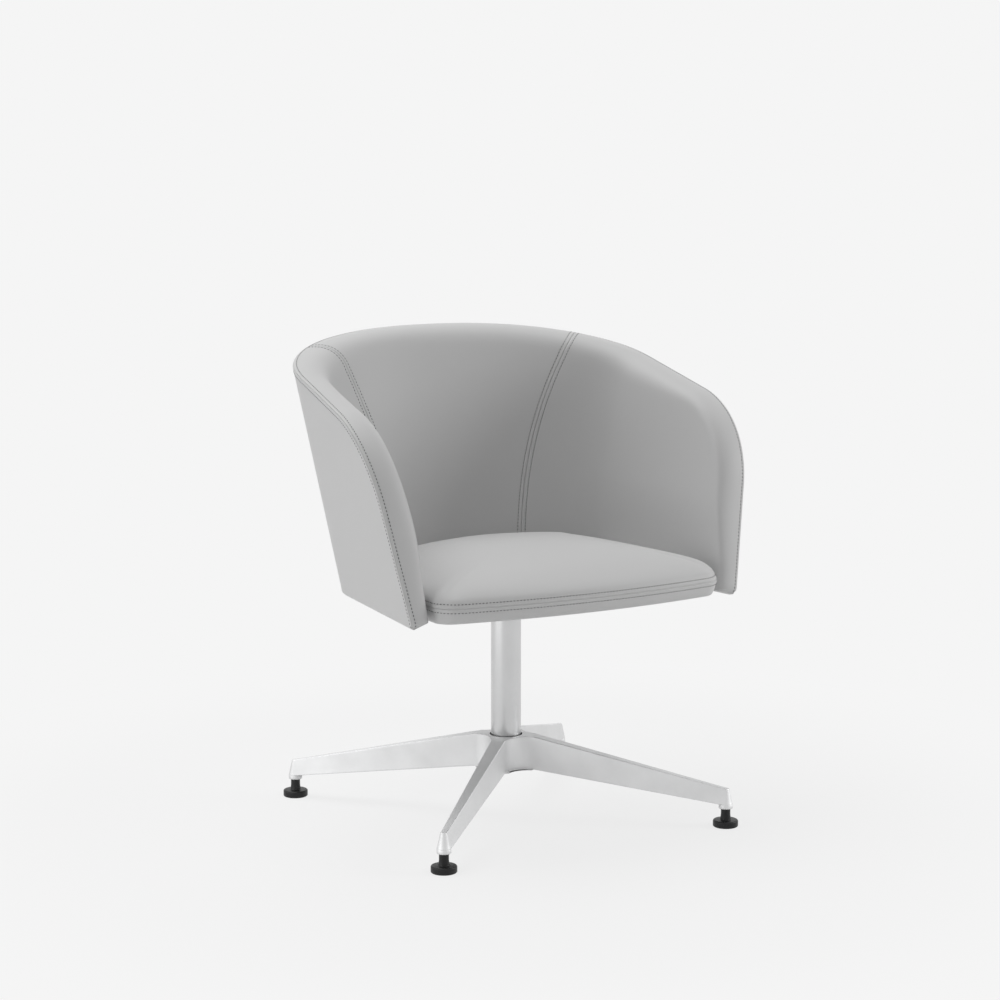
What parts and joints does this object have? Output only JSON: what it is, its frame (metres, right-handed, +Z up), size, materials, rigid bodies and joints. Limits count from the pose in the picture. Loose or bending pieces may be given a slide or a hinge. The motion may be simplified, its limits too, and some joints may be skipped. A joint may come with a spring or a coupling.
{
  "type": "swivel armchair",
  "caption": "Tub armchair upholstered in smooth leather, swivelling on a tubular column over a cross-shaped cast metal base with adjustable glides.",
  "frame": {"origin": "on the floor, at the middle of the overall bounding box, which is also the axis of the column and of the swivel", "axes": "+Z up; +Y towards the chair's back, so a person in it faces -Y; +X to the right of the chair seen from the front"},
  "size_m": [0.6756, 0.5492, 0.7707],
  "materials": {
    "leather": "smooth matte, pale neutral grey",
    "cast_metal": "satin silver-grey",
    "tube_metal": "satin silver-grey",
    "steel": "plain zinc-plated",
    "black_plastic": "matte black nylon",
    "plywood": "raw birch plywood",
    "foam": "open-cell upholstery foam",
    "black_cloth": "thin black lining cloth"
  },
  "bodies": {
    "base": {"star_base": "cast_metal", "hub_bush": "black_plastic", "spindle": "steel", "spindle_washer": "steel", "spindle_bolt": "steel", "retaining_ring": "steel", "lower_race": "steel", "roller_cage": "black_plastic"},
    "seat": {"upper_race": "steel", "column_tube": "tube_metal", "lower_bush": "black_plastic", "upper_bush": "black_plastic", "swivel_plate": "steel", "plate_bolts": "steel", "tee_nuts": "steel", "seat_board": "plywood", "dust_cover": "black_cloth", "seat_foam": "foam", "seat_cover": "leather", "shell_core": "plywood", "shell_foam": "foam", "outer_cover": "leather", "inner_cover_left": "leather", "inner_cover_centre": "leather", "inner_cover_right": "leather", "shell_brackets": "steel", "bracket_screws": "steel"},
    "glide_1": {"glide_foot_1": "black_plastic", "glide_stud_1": "steel"},
    "glide_2": {"glide_foot_2": "black_plastic", "glide_stud_2": "steel"},
    "glide_3": {"glide_foot_3": "black_plastic", "glide_stud_3": "steel"},
    "glide_4": {"glide_foot_4": "black_plastic", "glide_stud_4": "steel"}
  },
  "joints": [
    {"name": "seat_swivel", "type": "hinge", "parent": "base", "child": "seat", "pos_m": [0, 0, 0], "axis": [0, 0, 1], "continuous": true},
    {"name": "glide_1_height", "type": "slide", "parent": "base", "child": "glide_1", "axis": [0, 0, -1], "range_m": [0, 0.008]},
    {"name": "glide_2_height", "type": "slide", "parent": "base", "child": "glide_2", "axis": [0, 0, -1], "range_m": [0, 0.008]},
    {"name": "glide_3_height", "type": "slide", "parent": "base", "child": "glide_3", "axis": [0, 0, -1], "range_m": [0, 0.008]},
    {"name": "glide_4_height", "type": "slide", "parent": "base", "child": "glide_4", "axis": [0, 0, -1], "range_m": [0, 0.008]}
  ]
}
